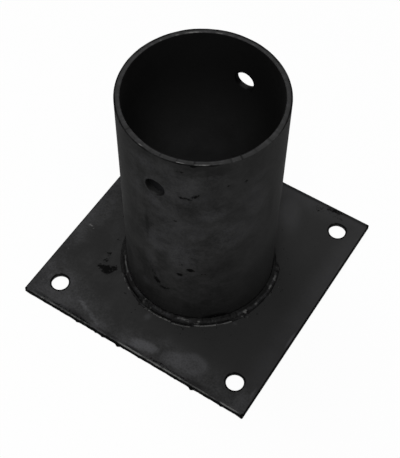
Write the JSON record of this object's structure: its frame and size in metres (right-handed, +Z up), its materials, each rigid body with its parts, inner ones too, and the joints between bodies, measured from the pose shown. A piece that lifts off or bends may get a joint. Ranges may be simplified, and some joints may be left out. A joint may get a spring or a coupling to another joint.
{
  "type": "column base plate",
  "caption": "Bolt-down steel base for a round post: square plate with corner anchor holes and a welded upright tube, cross-drilled for a through bolt.",
  "frame": {"origin": "centre of the square plate's underside, on the tube's axis", "axes": "+Z up the tube, out of its open mouth; the through bolt runs along Y; the plate's sides lie along X and Y and its ragged sheared edge is at -Y"},
  "size_m": [0.15, 0.15, 0.15],
  "materials": {
    "plate_coating": "satin black dip paint on hot-rolled steel, mottled",
    "sleeve_coating": "satin black dip paint on welded steel tube, scuffed",
    "weld_coating": "black dip paint over a rippled weld bead, glossier than the plate"
  },
  "bodies": {
    "root": {"base_plate": "plate_coating", "post_sleeve": "sleeve_coating", "fillet_weld": "weld_coating"}
  },
  "joints": []
}
